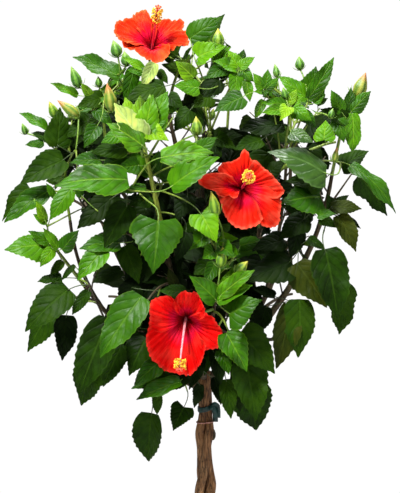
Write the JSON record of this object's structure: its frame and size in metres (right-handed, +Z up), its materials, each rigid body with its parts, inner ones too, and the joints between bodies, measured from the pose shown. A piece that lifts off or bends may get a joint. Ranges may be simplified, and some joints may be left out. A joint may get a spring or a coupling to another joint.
{
  "type": "hibiscus shrub",
  "caption": "Hibiscus shrub grown as a small standard: a trunk of twisted stems under a round leafy crown with large red blooms and green buds.",
  "frame": {"origin": "on the flat cut under the trunk, at its middle, at ground level", "axes": "+Z up along the trunk, -Y towards the front of the plant, +X to the right of that view"},
  "size_m": [0.6019, 0.605, 1.0781],
  "materials": {
    "bark": "rough brown bark with fine cracks, greener on the young wood",
    "foliage": "glossy toothed leaves, dark green when grown and yellow green when young",
    "petal": "soft satin red petals with a magenta ring and a crimson throat",
    "tape": "thin green nursery tape"
  },
  "bodies": {
    "root": {"trunk": "bark", "tie_tape": "tape", "bough_right": "bark", "bough_leader": "bark", "bough_left": "bark", "bough_front": "bark", "bough_back": "bark", "bough_back_left": "bark", "bough_back_right": "bark", "bough_left_high": "bark", "bough_left_shoulder": "bark", "bough_left_wing": "bark", "bough_front_low": "bark", "bough_front_right": "bark", "bough_centre": "bark", "bough_top_right": "bark", "bough_right_high": "bark", "bough_right_low": "bark", "bough_back_low": "bark", "bough_back_high": "bark", "bough_back_top": "bark", "bough_back_left_high": "bark", "bough_back_right_high": "bark", "foliage_top": "foliage", "foliage_top_right": "foliage", "foliage_centre": "foliage", "foliage_right_upper": "foliage", "foliage_right_lead": "foliage", "foliage_right_wing": "foliage", "foliage_right_low": "foliage", "foliage_right_base": "foliage", "foliage_centre_right": "foliage", "foliage_front_bright": "foliage", "foliage_centre_left": "foliage", "foliage_centre_low": "foliage", "foliage_left_upper": "foliage", "foliage_left_shoulder": "foliage", "foliage_left_wing": "foliage", "foliage_left_mid": "foliage", "foliage_left_low": "foliage", "foliage_left_base": "foliage", "foliage_base_left": "foliage", "foliage_base_right": "foliage", "foliage_back_top": "foliage", "foliage_back_high": "foliage", "foliage_back_centre": "foliage", "foliage_back_left_high": "foliage", "foliage_back_right_high": "foliage", "foliage_back_left": "foliage", "foliage_back_right": "foliage", "foliage_back_left_low": "foliage", "foliage_back_right_low": "foliage", "foliage_back_low": "foliage", "bloom_top": "petal", "bloom_right": "petal", "bloom_low": "petal"}
  },
  "joints": []
}
